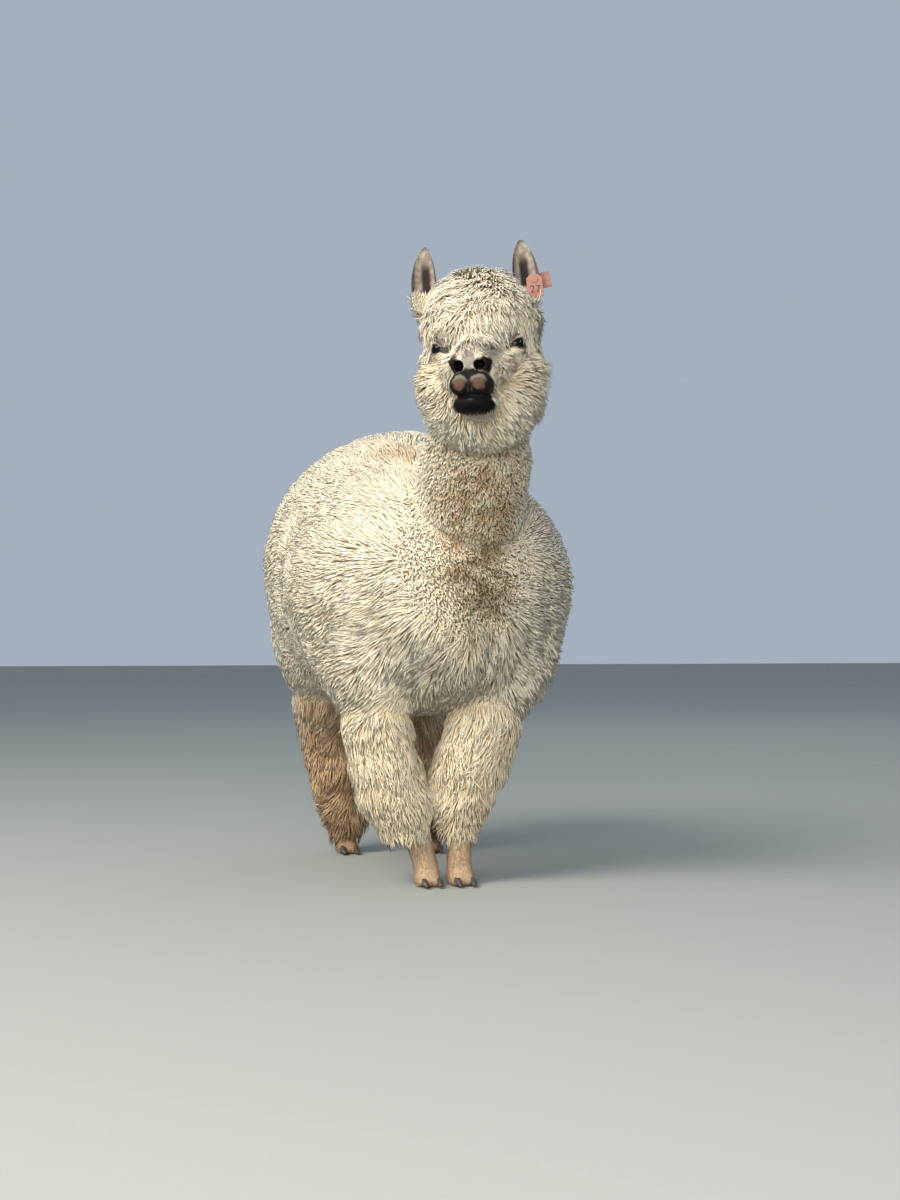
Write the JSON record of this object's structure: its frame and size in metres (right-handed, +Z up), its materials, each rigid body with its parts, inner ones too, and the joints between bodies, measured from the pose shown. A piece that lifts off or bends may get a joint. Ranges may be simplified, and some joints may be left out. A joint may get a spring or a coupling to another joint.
{
  "type": "alpaca",
  "caption": "Huacaya alpaca in full cream fleece, standing still and looking ahead, wearing a plain two-flap ear tag.",
  "frame": {"origin": "on the floor under the middle of the whole animal's bounding box", "axes": "+Z up; the animal faces -Y and +X is its left side"},
  "size_m": [0.5806, 1.2682, 1.2066],
  "materials": {
    "fleece": "matt, crimped wool",
    "leg_fleece": "matt, shaggy wool",
    "face_skin": "satin",
    "ear_skin": "short matt hair",
    "foot_hair": "short matt hair",
    "nail": "satin",
    "eye": "wet gloss",
    "tag_plastic": "matt"
  },
  "bodies": {
    "root": {"trunk": "fleece", "neck": "fleece", "tail": "fleece", "head": "fleece", "muzzle": "face_skin", "lower_jaw": "face_skin", "eye_left": "eye", "eye_right": "eye", "ear_left": "ear_skin", "ear_right": "ear_skin", "ear_tag_front": "tag_plastic", "ear_tag_back": "tag_plastic", "front_right_upper_leg": "leg_fleece", "front_right_lower_leg": "leg_fleece", "front_right_foot": "foot_hair", "front_right_outer_nail": "nail", "front_right_inner_nail": "nail", "front_left_upper_leg": "leg_fleece", "front_left_lower_leg": "leg_fleece", "front_left_foot": "foot_hair", "front_left_outer_nail": "nail", "front_left_inner_nail": "nail", "hind_right_upper_leg": "leg_fleece", "hind_right_lower_leg": "leg_fleece", "hind_right_foot": "foot_hair", "hind_right_outer_nail": "nail", "hind_right_inner_nail": "nail", "hind_left_upper_leg": "leg_fleece", "hind_left_lower_leg": "leg_fleece", "hind_left_foot": "foot_hair", "hind_left_outer_nail": "nail", "hind_left_inner_nail": "nail"}
  },
  "joints": []
}
